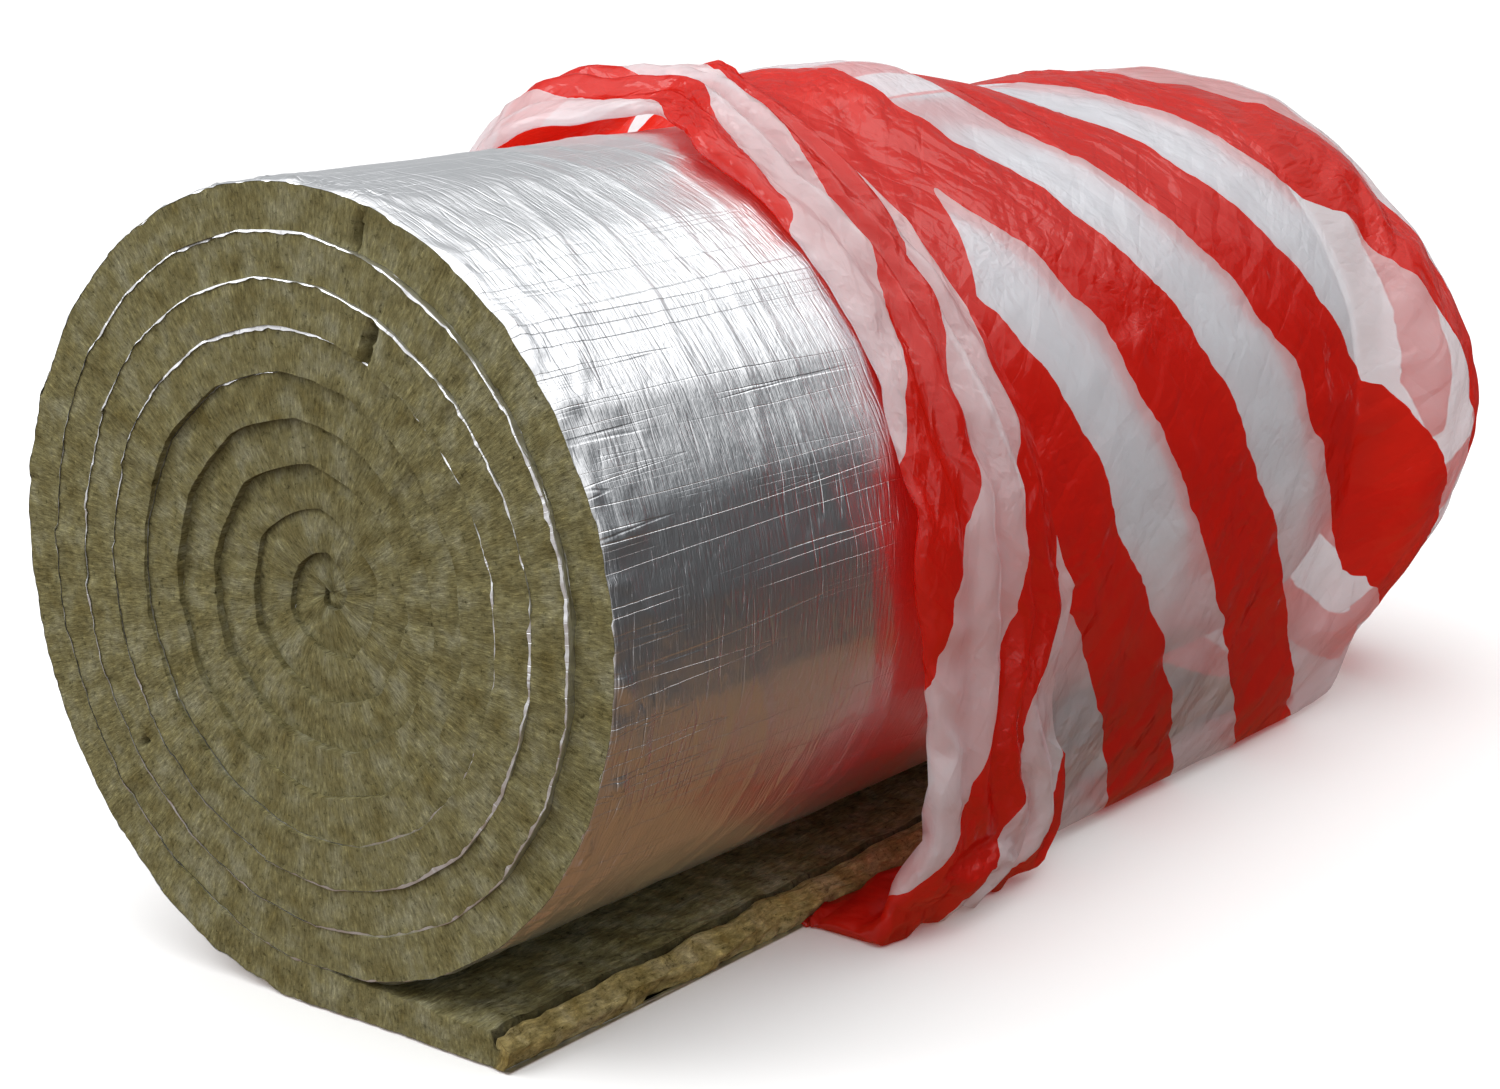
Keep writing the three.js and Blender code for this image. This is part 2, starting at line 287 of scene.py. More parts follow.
def roll_up(flat):
    """Carries a point of the flat mat (along, across, depth in from the foil side) onto the roll."""
    along, across, depth = flat
    share = depth / mat_thickness
    if along > wound_length:
        out = along - wound_length
        rise = turn_pitch - tail_root_press - 2 * ply_gap
        thickness = rise + (tail_thickness - rise) * out / tail_length
        return Vector((axis_x + out, front_y + across, mat_base + ply_gap + share * thickness))
    angle = math.sqrt(4 * math.pi * along / turn_pitch)
    outer = turn_radius(angle) - ply_gap
    inner = core_radius
    if angle > 2 * math.pi:
        inner = turn_radius(max(angle - 2 * math.pi, first_angle)) + turn_gap
    radius = outer + (inner - outer) * share
    below = last_angle - angle
    z = axis_z - radius * math.cos(below)
    if below < resting_angle:
        z = max(z, mat_base + ply_gap + resting_share * depth)
    return Vector((axis_x - radius * math.sin(below), front_y + across + end_recess(angle), z))


def face_relief(along, depth):
    """How far the torn wool stands out of the cut end face: fibres, tufts and opened joints."""
    strip = math.floor(along / strip_width + 0.1 * uneven(along * 60, depth * 60, 2))
    step = strip_step * noise.cell(Vector((strip * 1.7, 5, 3)))
    lumps = face_lumps * uneven(along * 60, 3, depth * 45)
    fibres = face_fibres * uneven(along * 230, 7, depth * 60)
    opened = 0.0
    for wound_back, near, far, width, deep in cracks:
        place = turn_pitch * (last_angle - math.radians(wound_back)) ** 2 / (4 * math.pi)
        away = (along - place - 0.002 * uneven(depth * 150, 1, 6)) / width
        if abs(away) < 4:
            length = between(near - 0.002, near + 0.002, far - 0.002, far + 0.002, depth)
            opened += deep * math.exp(-away * away) * length
    inner = 1 - smooth(2.6, 4.6, math.sqrt(max(0, along) / (math.pi * turn_pitch)))
    crown = face_crown * inner * math.sin(math.pi * min(1, max(0, depth / mat_thickness)))
    return step + lumps + fibres + crown - opened


def tail_relief(along, across, depth):
    """The free end's relief, as a move along the tail and a move up: its open joint and ragged edge."""
    to_end = mat_end - along
    near, far = joint_from_end
    joint = near + (far - near) * across / mat_width
    joint += joint_unevenness * uneven(across * 30, 4, 4)
    height = depth / mat_thickness
    opened = math.exp(-(((to_end - joint) / joint_width) ** 2)) * joint_depth * smooth(0.55, 1, height)
    lumps = tail_lumps * uneven(along * 40, across * 26, depth * 40)
    fibres = tail_fibres * uneven(along * 150, across * 60, depth * 80)
    rounding = tail_rounding * (1 - smooth(0, 0.009, to_end)) * smooth(0.3, 1, height) ** 2
    ragged = ragged_wide * uneven(across * 22, 8, height)
    ragged += ragged_fine * uneven(across * 90, 8, height * 3)
    out = (ragged - ragged_wide * abs(height - 0.5) ** 1.5 * 2) * (1 - smooth(0, 0.03, to_end))
    up = (lumps + fibres) * smooth(0.6, 1, height) - opened - rounding
    return out, up


def shaded(piece, crease=None):
    """Shades a piece smoothly, apart from its edges that are sharper than crease."""
    for polygon in piece.data.polygons:
        polygon.use_smooth = True
    if crease:
        piece.data.set_sharp_from_angle(angle=crease)


# The mat is laid out flat as a block of cells, finer near its end, and then carried onto the roll.
wool_shape = bmesh.new()
long_part = mat_end - end_length - mat_start
long_cells = round(long_part / cell_length)
end_cells = round(end_length / end_cell_length)
bmesh.ops.create_grid(wool_shape, x_segments=long_cells + end_cells, y_segments=cells_deep, size=1)
for v in wool_shape.verts:
    column = round((v.co.x + 1) / 2 * (long_cells + end_cells))
    along = mat_start + long_part * min(column, long_cells) / long_cells
    along += end_length * max(0, column - long_cells) / end_cells
    v.co = Vector((along, 0, mat_thickness * (v.co.y + 1) / 2))
pushed = bmesh.ops.extrude_face_region(wool_shape, geom=wool_shape.faces[:])["geom"]
for v in (g for g in pushed if isinstance(g, bmesh.types.BMVert)):
    v.co.y = mat_width
in_tail = [e for e in wool_shape.edges
           if abs(e.verts[0].co.y - e.verts[1].co.y) > 0.5 and e.verts[0].co.x > wound_length - tail_margin
           and (e.verts[0].co.z > 0.02 or e.verts[0].co.x > mat_end - 0.001)]
bmesh.ops.subdivide_edges(wool_shape, edges=in_tail, cuts=tail_cuts, use_grid_fill=True)
flat_place = wool_shape.verts.layers.float_vector.new("mat_place")
for v in wool_shape.verts:
    along, across, depth = v.co
    v[flat_place] = v.co.copy()
    if across < 1e-6 and depth < 1e-6:
        turns_in = turns_wound - math.sqrt(along / (math.pi * turn_pitch))
        v.co.z -= edge_over_foil * smooth(4.2, 5.2, turns_in)
    placed = roll_up(v.co)
    if across < 1e-6:
        placed.y -= face_relief(along, depth)
    if along > wound_length + tail_margin:
        out, up = tail_relief(along, across, depth)
        placed += Vector((out, 0, up))
    v.co = placed
bmesh.ops.recalc_face_normals(wool_shape, faces=wool_shape.faces[:])
wool_mat = made("stone_wool", wool_shape)
shaded(wool_mat, wool_crease)

nodes, links = painted(wool_mat, "stone_wool")
place = nodes.new("ShaderNodeAttribute")
place.attribute_name = "mat_place"


def stretched(vector, scale):
    """A place stretched by its own amount along, across and through the piece."""
    stretch = nodes.new("ShaderNodeVectorMath")
    stretch.operation = "MULTIPLY"
    stretch.inputs[1].default_value = scale
    links.new(vector, stretch.inputs[0])
    return stretch.outputs[0]


def drawn_noise(scale, detail, roughness=0.6):
    """A noise over the piece's own flat place, with its own fineness along, across and through it."""
    texture = nodes.new("ShaderNodeTexNoise")
    texture.inputs["Scale"].default_value = 1
    texture.inputs["Detail"].default_value = detail
    texture.inputs["Roughness"].default_value = roughness
    links.new(stretched(place.outputs["Vector"], scale), texture.inputs["Vector"])
    return texture.outputs["Fac"]


def bumped(height, distance, strength=1.0):
    """A normal that shows a height as relief, distance high where the height is 1."""
    bump = nodes.new("ShaderNodeBump")
    bump.inputs["Strength"].default_value = strength
    bump.inputs["Distance"].default_value = distance
    links.new(height, bump.inputs["Height"])
    return bump.outputs["Normal"]


free_strip_tint = (1.55, 1.36, 1.16)
# The open joint's colour is painted shade: it darkens the slot's walls as if the deep, narrow slot lay in
# shadow.
open_joint_painted_shade = (0.4, 0.38, 0.35)
wool_roughness = 0.95
wool_gloss = 0.1
wool_along, wool_across, wool_deep = taken_apart(place.outputs["Vector"])
clouds = ramp(drawn_noise((38, 38, 38), 4), (0.3, (0.125, 0.106, 0.04)), (0.5, (0.178, 0.164, 0.08)),
              (0.7, (0.235, 0.23, 0.15)))
streaks = ramp(drawn_noise((380, 80, 120), 6, 0.8), (0.3, (0.25, 0.24, 0.2)), (0.44, (0.8, 0.78, 0.75)),
               (0.56, (1.15, 1.13, 1.1)), (0.7, (2.1, 2.05, 1.95)))
flecks = ramp(drawn_noise((150, 150, 190), 6, 0.8), (0.33, (0.25, 0.23, 0.18)), (0.44, (1, 1, 1)),
              (0.7, (1.15, 1.12, 1.1)))
joint_slant = joint_from_end[1] - joint_from_end[0]
past_joint = calculated("MULTIPLY_ADD", wool_across, joint_slant, wool_along)
past_joint = calculated("SUBTRACT", past_joint, mat_end - joint_from_end[0])
off_joint = calculated("ABSOLUTE", calculated("MULTIPLY_ADD", drawn_noise((0, 40, 0), 3), 0.004, past_joint))
off_joint = calculated("SUBTRACT", off_joint, 0.002)
near_top = eased(wool_deep, 0.014, 0.02)
# Where the painted shade falls: on the open joint's walls, near the tail's top.
joint_shade_mask = calculated("MULTIPLY", eased(off_joint, 0.0018, 0.0004), near_top)
free_strip = eased(past_joint, -0.002, 0.004)
colour = mixed("MULTIPLY", 1.0, mixed("MULTIPLY", 1.0, clouds, streaks), flecks)
colour = mixed("MULTIPLY", free_strip, colour, free_strip_tint)
colour = mixed("MULTIPLY", joint_shade_mask, colour, open_joint_painted_shade)
skin = nodes["Principled BSDF"]
links.new(colour, skin.inputs["Base Color"])
skin.inputs["Roughness"].default_value = wool_roughness
skin.inputs["Specular IOR Level"].default_value = wool_gloss
links.new(bumped(drawn_noise((480, 90, 110), 6, 0.7), 0.0018, 0.9), skin.inputs["Normal"])
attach(wool_mat, "root")
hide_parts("wool_mat")

# ---- Foil facing ----
# A thin reinforced aluminium foil glued to the outside of the mat, one ply from the core to the tail's
# end. Rolling the mat has left it finely creased along and round the roll, and crumpled at its edge.

outer_turn = wound_length - 2 * math.pi * roll_radius - 0.06
clear_length = (outer_turn, outer_turn + 0.05, wound_length - 0.12, wound_length - 0.06)
bare_length = 0.43
foil_cell_length = 0.0035
foil_columns = round((mat_end - mat_start) / foil_cell_length)
# The foil's cells lie in rows across the mat: close at the cut edge, then wide along the bare length
# and under the film.
foil_rows = (0.0, 0.0004, 0.002, 0.006, 0.012, bare_length, mat_width)
bare_row = bare_length - 0.012
bare_cuts = 110
rim_reach = 0.035
swell_height, tuck_height = 0.0011, 0.0011
pucker_height, crumple_height = 0.0024, 0.003
foil_stand = 0.0006
edge_unevenness = 0.0007
curl_width = 0.0008
speck_width = 0.004
wide_curls = ((553, 700, 0.0012), (891, 1048, 0.0009), (1230, 1275, 0.0012))
hidden_in_core, hidden_at_rim = 0.002, 0.0008
foil_crease = math.radians(50)


def ridged(value, sharpness):
    """Turns a noise value from -1 to 1 into a ridge that is 1 high where the value is 0."""
    return max(0.0, 1 - abs(value) * 4 * sharpness)


def foil_relief(along, across):
    """How far the outer foil stands off the flat mat: swells, creases round the roll, a crumpled rim."""
    swell = swell_height * uneven(along * 7, across * 13, 6.1)
    drift = 0.25 * uneven(along * 3, across * 4, 8.8)
    tucks = tuck_height * ridged(uneven(along * 4.5, across * 19 + drift * 6, 3.7), 2)
    rim = math.exp(-across / rim_reach)
    puckers = pucker_height * rim * uneven(along * 50, across * 55, 2.2)
    crumples = crumple_height * rim * ridged(uneven(along * 20, across * 60, 5.5), 1.5)
    return swell + tucks + puckers + crumples


def cut_edge(along):
    """How far the foil's cut edge stands out of the wool's face, and how far it curls in over it. It
    curls widest on the right of the outer turns, and not at all on the inner ones."""
    wound_back = math.degrees(last_angle - math.sqrt(4 * math.pi * min(along, wound_length) / turn_pitch))
    stand = max(face_relief(along + aside, depth) for depth in (0, 0.0027) for aside in (-0.0015, 0, 0.0015))
    stand += foil_stand + edge_unevenness * abs(uneven(along * 90, 8.3, 0))
    wide = 0.0
    for low, high, most in wide_curls:
        wide += most * between(low - 25, low + 25, high - 30, high + 30, wound_back)
    ragged = uneven(along * 16, 6.6, 0) + 0.8 * uneven(along * 130, 1.3, 0)
    past_rim = smooth(330, 380, wound_back)
    before_core = 1 - smooth(1500, 2000, wound_back)
    curl = (curl_width + 0.5 * wide) * (1 + 1.6 * ragged) * past_rim * before_core
    curl += speck_width * max(0.0, uneven(along * 90, 2.7, 0) - 0.25) * before_core
    hidden = hidden_in_core * smooth(1600, 2000, wound_back) + hidden_at_rim * (1 - past_rim)
    return stand - hidden, max(0.0, curl)


# The foil is laid out flat too, with fine cells only on the length of the outer turn that is bare.
foil_shape = bmesh.new()
bmesh.ops.create_grid(foil_shape, x_segments=foil_columns, y_segments=len(foil_rows) - 1, size=1)
for v in foil_shape.verts:
    row = round((v.co.y + 1) / 2 * (len(foil_rows) - 1))
    v.co = Vector((mat_start + (mat_end - mat_start) * (v.co.x + 1) / 2, foil_rows[row], 0))
bare = [e for e in foil_shape.edges
        if min(v.co.x for v in e.verts) > outer_turn
        and abs(abs(e.verts[0].co.y - e.verts[1].co.y) - bare_row) < 0.01]
bmesh.ops.subdivide_edges(foil_shape, edges=bare, cuts=bare_cuts, use_grid_fill=True)
foil_place = foil_shape.verts.layers.float_vector.new("foil_place")
for v in foil_shape.verts:
    along, across, _ = v.co
    v[foil_place] = Vector((along, across, 0))
    lift = ply_gap
    if along > outer_turn:
        clear = between(*clear_length, along)
        off_edge = smooth(-0.0005, 0.005, across)
        lift += max(0.0, foil_stand + foil_relief(along, across)) * clear * off_edge
    stand, curl = cut_edge(along) if across < 0.001 else (0, 0)
    if across > 0.0001:
        curl = 0
    v.co = roll_up(Vector((along, across - stand, curl - lift)))
bmesh.ops.recalc_face_normals(foil_shape, faces=foil_shape.faces[:])
foil_facing = made("foil_facing", foil_shape)
shaded(foil_facing, foil_crease)

nodes, links = painted(foil_facing, "aluminium_foil")
place = nodes.new("ShaderNodeAttribute")
place.attribute_name = "foil_place"


def ridges(scale, width, detail=2.0):
    """Wavy narrow ridges where a stretched noise crosses its middle, 1 high along their crests."""
    away = calculated("ABSOLUTE", calculated("SUBTRACT", drawn_noise(scale, detail), 0.5))
    return eased(away, width, 0)


def patches(scale, low, high):
    """Patches that keep what lies under them between 0 and 1."""
    return eased(drawn_noise(scale, 2), low, high)


foil_colour = (0.8, 0.81, 0.83, 1)
along_height, along_fine_height = 0.26, 0.08
round_height, round_fine_height = 0.36, 0.12
dash_height, dent_height = 0.75, 0.6
foil_roughness, torn_roughness = 0.34, 0.46
relief_unit = 0.001
along_roll = calculated("MULTIPLY", ridges((48, 1.1, 1), 0.008, 1.0), patches((7, 4, 1), 0.36, 0.5))
along_fine = calculated("MULTIPLY", ridges((120, 2.4, 3), 0.016, 1.0), patches((14, 5, 2), 0.5, 0.62))
round_roll = calculated("MULTIPLY", ridges((6, 46, 5), 0.03), patches((8, 10, 6), 0.35, 0.6))
round_fine = calculated("MULTIPLY", ridges((28, 150, 7), 0.05), patches((10, 12, 8), 0.3, 0.6))
dents = calculated("MULTIPLY", drawn_noise((60, 75, 1), 3), dent_height)
dashes = calculated("MULTIPLY_ADD", drawn_noise((60, 760, 1), 2), 0.22, drawn_noise((36, 330, 5), 2))
fine_creases = calculated("MULTIPLY", along_fine, along_fine_height)
creases = calculated("MULTIPLY_ADD", along_roll, along_height, fine_creases)
fine_waves = calculated("MULTIPLY", round_fine, round_fine_height)
waves = calculated("MULTIPLY_ADD", round_roll, round_height, fine_waves)
threads = calculated("MULTIPLY_ADD", dashes, dash_height, dents)
height = calculated("ADD", calculated("ADD", creases, waves), threads)
torn_edge = eased(taken_apart(place.outputs["Vector"])[1], 0.0022, 0.0004)
roughness = calculated("MULTIPLY_ADD", torn_edge, torn_roughness - foil_roughness, foil_roughness)
skin = nodes["Principled BSDF"]
skin.inputs["Base Color"].default_value = foil_colour
skin.inputs["Metallic"].default_value = 1
links.new(bumped(height, relief_unit), skin.inputs["Normal"])
links.new(roughness, skin.inputs["Roughness"])
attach(foil_facing, "root")
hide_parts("foil_facing")

# ---- Film bag ----
# A bag of thin polythene film, printed with slanting red bands and welded shut at the rear. It is
# pushed back from the front half of the roll, so that its mouth is turned back over it as a cuff.

cells_round = 272
end_rows, body_rows, fold_rows, cuff_rows = 50, 92, 5, 40
rows_long = end_rows + body_rows + fold_rows + cuff_rows
film_clearance = 0.003
tail_edge = tail_length + 0.055
edge_height = 0.014
edge_turn = 0.012
side_points, under_points = 24, 30
floor_gap = 0.0006
end_slack = 0.318
end_squareness = 3.4
end_bulge = 0.034
end_pinch = 0.06
weld_width = 0.3
weld_height = 0.2
film_rest = 0.003
lip_lift, lip_lift_free, lip_lift_shoulder, lip_lift_low = 0.004, 0.006, 0.008, 0.004
lip_slope = 0.11
fold_radius, fold_radius_low = 0.006, 0.004
hem_lift = 0.016
cuff_folds = 4
cuff_fold_height = 0.006
crown_height, crown_shoulder, crown_top = 0.009, 0.022, 0.006
unrest_large, unrest_small = 0.006, 0.003
unrest_seed = 1
# Bearings round the roll, in degrees: where the film is free of the floor, its top, its low right side
# and the shoulder that the cuff makes before the top. Each comes and goes smoothly.
free_bearings = (15, 50, 326, 345)
top_bearings = (120, 165, 178, 225)
low_bearings = (280, 305, 318, 334)
shoulder_bearings = (118, 138, 156, 172)
# Each stop is the bearing round the roll, in degrees, and how far the lip or the hem lies behind the
# roll's front. The slack is how far the film stands off the top, by how far behind the front.
lip_behind = ((0, 0.33), (60, 0.33), (130, 0.38), (156, 0.355), (166, 0.36), (176, 0.38), (198, 0.32),
              (262, 0.305), (296, 0.338), (330, 0.325), (360, 0.33))
hem_behind = ((0, 0.40), (60, 0.42), (160, 0.48), (172, 0.484), (190, 0.435), (240, 0.437), (262, 0.455),
              (280, 0.50), (292, 0.49), (312, 0.55), (335, 0.44), (360, 0.40))
slack_on_top = ((0.3, 0.012), (0.47, 0.021), (0.55, 0.034), (0.64, 0.031), (0.72, 0.017), (0.82, 0.001),
                (0.96, 0.001))


def through(stops, value):
    """A smooth curve through stops, each a place and a height."""
    for (a, p), (b, q) in zip(stops, stops[1:]):
        if value <= b:
            return p + (q - p) * smooth(a, b, value)
    return stops[-1][1]


def on_roll(below, clearance):
    """A point (x, z) off the last turn, where below is the angle clockwise from straight down."""
    radius = roll_radius - turn_pitch * below / (2 * math.pi) + clearance
    return Vector((axis_x - radius * math.sin(below), axis_z - radius * math.cos(below)))


def ring_line():
    """The closed line (x, z) round the roll and its tail, clockwise from below, on which the film lies."""
    edge = Vector((axis_x + tail_edge, edge_height))
    arc = [on_roll(math.radians(degree), film_clearance) for degree in range(3, 360)]
    for point in arc:
        point.y = max(floor_gap, point.y)
    leave = min(range(230, 340), key=lambda i: math.atan2(arc[i].y - edge.y, arc[i].x - edge.x))
    side = [arc[leave].lerp(edge, i / side_points) for i in range(1, side_points + 1)]
    turned, rising = Vector((edge.x - edge_turn, floor_gap)), Vector((arc[0].x, floor_gap))
    under = [turned.lerp(rising, i / under_points) for i in range(under_points)]
    return arc[:leave + 1] + side + under


def evenly(line, count):
    """Points at even distances round a closed line, and its length."""
    closed = line + line[:1]
    lengths = [0.0]
    for a, b in zip(closed, closed[1:]):
        lengths.append(lengths[-1] + (b - a).length)
    points = []
    k = 0
    for i in range(count):
        target = lengths[-1] * i / count
        while lengths[k + 1] < target:
            k += 1
        points.append(closed[k].lerp(closed[k + 1], (target - lengths[k]) / (lengths[k + 1] - lengths[k])))
    return points, lengths[-1]


ring, girth = evenly(ring_line(), cells_round)
left_corner = min(range(cells_round), key=lambda i: ring[i].x)


def outward(i):
    """The way out of the ring, square to it, at one of its points."""
    along = ring[(i + 1) % cells_round] - ring[i - 1]
    return Vector((-along.y, along.x)).normalized()


def bearing(point):
    """The angle of a point (x, z) round the roll's axis, in degrees, clockwise from straight down."""
    return math.degrees(math.atan2(axis_x - point.x, axis_z - point.y)) % 360


def film_line(i):
    """One lengthwise line of the film, from the mat's rear end to the hem, as rows of (distance behind
    the roll's front, distance out from the ring)."""
    at = bearing(ring[i])
    free = between(*free_bearings, at)
    top = between(*top_bearings, at)
    low = between(*low_bearings, at)
    shoulder = between(*shoulder_bearings, at)
    lip = through(lip_behind, at)
    hem = through(hem_behind, at)
    lip_rise = lip_lift + free * (lip_lift_free + lip_lift_shoulder * shoulder + lip_lift_low * low)
    rows = []
    for k in range(body_rows + 1):
        behind = mat_width + (lip - mat_width) * k / body_rows
        loose = free * (film_rest + top * through(slack_on_top, behind))
        rows.append((behind, loose + (lip_rise - loose) * smooth(lip + lip_slope, lip, behind)))
    behind, rise = rows[-1]
    fold_step = math.pi * (fold_radius + fold_radius_low * low) / fold_rows
    for k in range(fold_rows):
        way = math.pi * free * (k + 0.5) / fold_rows
        behind -= fold_step * math.cos(way)
        rise += fold_step * math.sin(way)
        rows.append((behind, rise))
    lip_top = rise
    hem_rise = film_rest + free * (hem_lift + top * through(slack_on_top, hem))
    for k in range(1, cuff_rows + 1):
        share = k / cuff_rows
        back = behind + (hem - behind) * share if free > 0.5 else behind - 0.02 * share
        arch = math.sin(math.pi * share)
        phase = 2.5 * uneven(at / 25, 7.7, 0)
        crown = (crown_height + crown_shoulder * shoulder - crown_top * top) * arch
        crown += cuff_fold_height * arch * math.sin(2 * math.pi * cuff_folds * share + phase)
        rows.append((back, lip_top + (hem_rise - lip_top) * smooth(0, 1, share) + free * crown))
    return rows


def end_point(i, k):
    """A point of the closed end: k goes from 0 at the weld to end_rows at the mat's rear end."""
    turn = math.pi / 2 * (1 - k / end_rows)
    back = math.sin(turn) ** (2 / end_squareness)
    share = math.cos(turn) ** (2 / end_squareness)
    half_way = ((i - left_corner) % cells_round) / (cells_round / 2)
    weld_x = min(half_way, 2 - half_way) - 0.5
    weld = Vector((axis_x + weld_width * weld_x, weld_height))
    bulge = end_bulge * smooth(0, 0.45, back) * math.sin(math.pi * min(1, ring[i].y / 0.48))
    wall = ring[i] + Vector((math.copysign(bulge, ring[i].x), 0))
    wall.x -= end_pinch * smooth(0.1, 0.75, back) * smooth(0.16, 0.02, ring[i].y) * smooth(0, 0.2, ring[i].x)
    at = weld.lerp(wall, share)
    return Vector((at.x, front_y + mat_width + end_slack * back, at.y))


# The film is laid out as one grid, row by row from the weld to the hem. film_place is where each point
# lies in the flat cut, which has more length and girth than the film has room for, so it bunches up.
end_cut, body_cut, cuff_cut = 0.51, 0.83, 0.34
round_ease = 1.035
body_share, body_share_at_lip = 0.93, 0.3
row_places = [0.0]
for row in range(rows_long):
    if row < end_rows:
        row_length = end_cut / end_rows
    elif row < end_rows + body_rows:
        to_lip = smooth(0.7, 1, (row - end_rows) / body_rows)
        row_length = body_cut / body_rows * (body_share + body_share_at_lip * to_lip)
    else:
        row_length = cuff_cut / (fold_rows + cuff_rows)
    row_places.append(row_places[-1] + row_length)

# Unless it is seeded, noise_vector differs from one run to the next.
noise.seed_set(unrest_seed)
bag_shape = bmesh.new()
bmesh.ops.create_grid(bag_shape, x_segments=cells_round, y_segments=rows_long, size=1)
film_place = bag_shape.verts.layers.float_vector.new("film_place")
film_lines = [film_line(i) for i in range(cells_round)]
film_normals = [outward(i) for i in range(cells_round)]
for v in bag_shape.verts:
    column = round((v.co.x + 1) / 2 * cells_round)
    row = round((v.co.y + 1) / 2 * rows_long)
    i = column % cells_round
    if row < end_rows:
        place = end_point(i, row)
    else:
        behind, rise = film_lines[i][row - end_rows]
        at = ring[i] + film_normals[i] * rise
        place = Vector((at.x, front_y + behind, max(at.y, floor_gap)))
    if row > 0 and place.z > 0.004:
        slanted = Vector((place.x + 0.5 * place.y, place.y * 0.4, place.z))
        unrest = noise.noise_vector(slanted * 13) * unrest_large
        unrest += noise.noise_vector(slanted * 34) * unrest_small
        place = place + unrest * smooth(0.004, 0.03, place.z)
    v.co = place
    v[film_place] = Vector((girth * round_ease * column / cells_round, row_places[row], 0))
bmesh.ops.recalc_face_normals(bag_shape, faces=bag_shape.faces[:])
film_bag = made("film_bag", bag_shape)
shaded(film_bag)

# The film settles on the roll, the tail and the floor as cloth: it is held fast under the mat and at
# the weld, and only lightly elsewhere.
settling_frames = 22
touch_gap = 0.0015
block_friction = 12
sorting_way = Vector((1, 0.37, 0.11))
hold_all_over, hold_on_top, hold_at_rear = 0.005, 0.2, 0.12
held_bearings = (110, 150, 180, 235)


def block(name, line, start, end):
    """A closed block, from start to end along the roll, that the settling film rests against. Its
    faces are sorted, because the folds depend on their order."""
    shape = bmesh.new()
    face = shape.faces.new([shape.verts.new((point.x, start, point.y)) for point in line])
    pushed = bmesh.ops.extrude_face_region(shape, geom=[face])["geom"]
    for v in (g for g in pushed if isinstance(g, bmesh.types.BMVert)):
        v.co.y = end
    bmesh.ops.triangulate(shape, faces=shape.faces[:])
    bmesh.ops.recalc_face_normals(shape, faces=shape.faces[:])
    shape.faces.sort(key=lambda face: face.calc_center_median().dot(sorting_way))
    solid = made(name, shape)
    solid.modifiers.new("touch", "COLLISION")
    solid.collision.thickness_outer = touch_gap
    solid.collision.cloth_friction = block_friction
    solid.collision.use_culling = False
    return solid


def rectangle(left, right, bottom, top):
    """The corners (x, z) of an upright rectangle."""
    return [Vector((left, bottom)), Vector((right, bottom)), Vector((right, top)), Vector((left, top))]


def resting_blocks():
    """The roll, its tail and the floor, as plain blocks for the film to settle on."""
    round_roll = [on_roll(math.radians(degree), 0) for degree in range(6, 352, 5)]
    for point in round_roll:
        point.y = max(0.0025, point.y)
    on_tail = rectangle(axis_x, axis_x + tail_length, 0.003, 0.026)
    on_floor = rectangle(-1, 1, -0.05, -0.001)
    return [
        block("roll_form", round_roll, front_y - 0.02, front_y + mat_width),
        block("tail_form", on_tail, front_y, front_y + mat_width),
        block("floor_form", on_floor, front_y - 0.5, front_y + 2),
    ]


def hold_film():
    """Groups for how firmly each point of the film is held, and for where it keeps off itself."""
    held = film_bag.vertex_groups.new(name="held")
    apart = film_bag.vertex_groups.new(name="apart")
    for v in film_bag.data.vertices:
        at = bearing(Vector((v.co.x, v.co.z)))
        behind = v.co.y - front_y
        under_mat = v.co.z < 0.003 and v.co.x < axis_x + tail_length - 0.01
        on_top = between(*held_bearings, at)
        hold = hold_all_over + hold_on_top * on_top + hold_at_rear * smooth(0.98, 1.08, behind)
        held.add([v.index], 1.0 if under_mat or v.index <= cells_round else hold, "REPLACE")
        apart.add([v.index], smooth(0.62, 0.64, behind), "REPLACE")


def settle_film():
    """Lets the film settle as cloth, and keeps the shape that it comes to."""
    rests = resting_blocks()
    hold_film()
    film_bag.shape_key_add(name="draped")
    cut = film_bag.shape_key_add(name="cut")
    for point, flat_place in zip(cut.data, film_bag.data.attributes["film_place"].data):
        point.co = flat_place.vector
    cloth = film_bag.modifiers.new("film", "CLOTH")
    film = cloth.settings
    film.quality = 6
    film.mass = 0.1
    film.air_damping = 1
    film.bending_model = "ANGULAR"
    film.tension_stiffness = 20
    film.compression_stiffness = 40
    film.shear_stiffness = 8
    film.bending_stiffness = 0.04
    film.tension_damping = 5
    film.compression_damping = 5
    film.shear_damping = 5
    film.bending_damping = 0.5
    film.vertex_group_mass = "held"
    film.pin_stiffness = 1
    film.rest_shape_key = cut
    film.effector_weights.gravity = 0.2
    touch = cloth.collision_settings
    touch.use_collision = True
    touch.collision_quality = 2
    touch.distance_min = touch_gap
    touch.use_self_collision = True
    touch.self_distance_min = touch_gap
    touch.vertex_group_self_collisions = "apart"
    cloth.point_cache.frame_start = 1
    cloth.point_cache.frame_end = settling_frames
    for moment in range(1, settling_frames + 1):
        bpy.context.scene.frame_set(moment)
    settled = film_bag.evaluated_get(bpy.context.evaluated_depsgraph_get())
    places = [v.co.copy() for v in settled.data.vertices]
    film_bag.modifiers.remove(cloth)
    film_bag.shape_key_clear()
    for v, place in zip(film_bag.data.vertices, places):
        v.co = (place.x, place.y, max(place.z, floor_gap))
    for solid in rests:
        bpy.data.objects.remove(solid)
    bpy.context.scene.frame_set(1)


# The taut film keeps flat facets between its creases. Its two long edges are joined into a tube.
large_facet, small_facet = 0.006, 0.003
creased_run = (0.32, 0.5, 1.02, 1.14)
taut_run, taut_share = (0.58, 0.68, 0.92, 1.02), 0.75
facet_slant = (0.9, 0.44)


